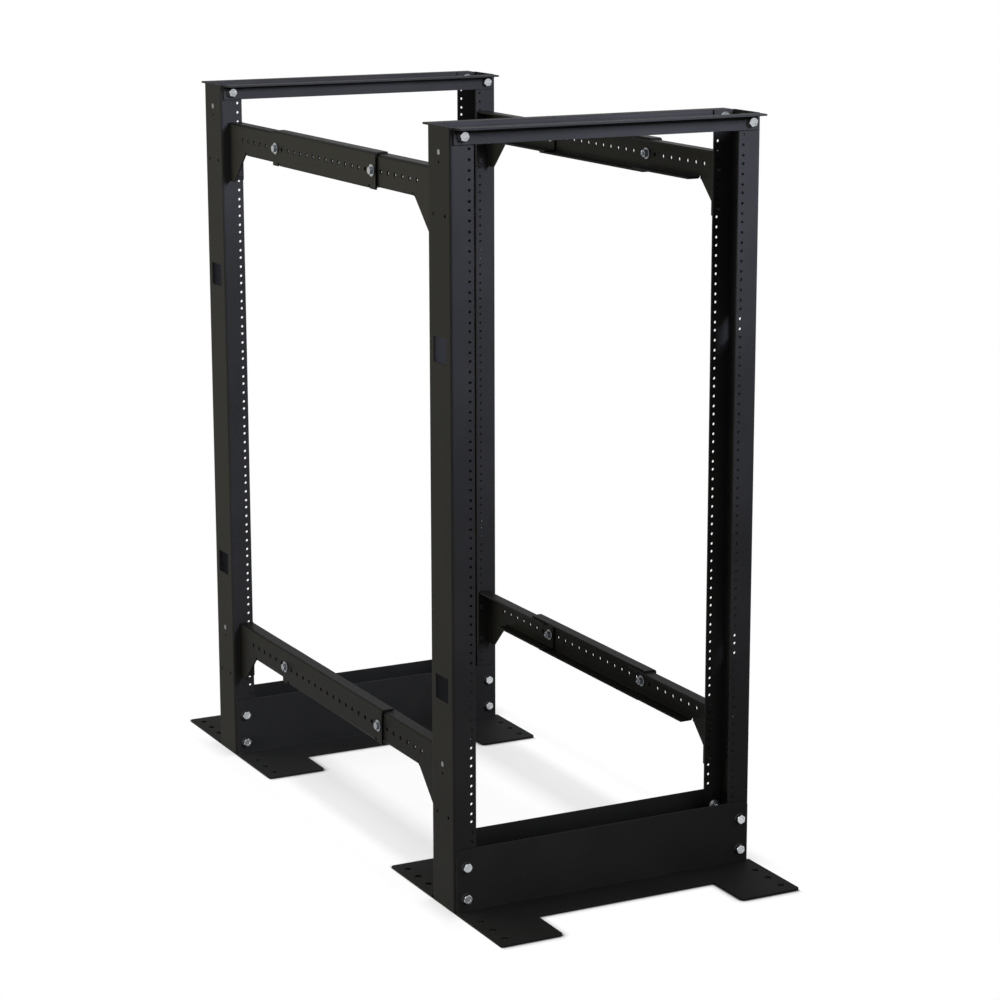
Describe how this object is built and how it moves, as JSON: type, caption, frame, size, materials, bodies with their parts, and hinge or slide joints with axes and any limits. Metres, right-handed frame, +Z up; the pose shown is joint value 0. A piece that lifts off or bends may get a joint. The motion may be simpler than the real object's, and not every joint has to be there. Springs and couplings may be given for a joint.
{
  "type": "four-post rack",
  "caption": "Open-frame four-post equipment rack: two bolted steel frames on notched floor angles, joined by depth-adjusting rails at both sides.",
  "frame": {"origin": "on the floor, in the middle of the rack's footprint", "axes": "+X across the width to the right as seen from the front, +Y from the front frame to the rear frame, +Z up"},
  "size_m": [0.5262, 1.2752, 1.1972],
  "materials": {
    "frame_steel": "fine-textured black powder coat",
    "base_steel": "fine-textured black powder coat",
    "rail_steel": "fine-textured black powder coat",
    "zinc_hardware": "bright zinc plate"
  },
  "bodies": {
    "front_frame": {"front_left_upright": "frame_steel", "front_right_upright": "frame_steel", "front_frame_front_top_angle": "frame_steel", "front_frame_front_base_angle": "base_steel", "front_frame_back_top_angle": "frame_steel", "front_frame_back_base_angle": "base_steel", "lower_left_front_arm": "rail_steel", "lower_right_front_arm": "rail_steel", "upper_left_front_arm": "rail_steel", "upper_right_front_arm": "rail_steel", "lower_left_sleeve": "rail_steel", "lower_right_sleeve": "rail_steel", "upper_left_sleeve": "rail_steel", "upper_right_sleeve": "rail_steel"},
    "rear_frame": {"rear_left_upright": "frame_steel", "rear_right_upright": "frame_steel", "rear_frame_front_top_angle": "frame_steel", "rear_frame_front_base_angle": "base_steel", "rear_frame_back_top_angle": "frame_steel", "rear_frame_back_base_angle": "base_steel", "lower_left_rear_arm": "rail_steel", "lower_right_rear_arm": "rail_steel", "upper_left_rear_arm": "rail_steel", "upper_right_rear_arm": "rail_steel"}
  },
  "joints": [
    {"name": "depth_adjust", "type": "slide", "parent": "front_frame", "child": "rear_frame", "axis": [0, 1, 0], "range_m": [-0.127, 0.0254]}
  ]
}
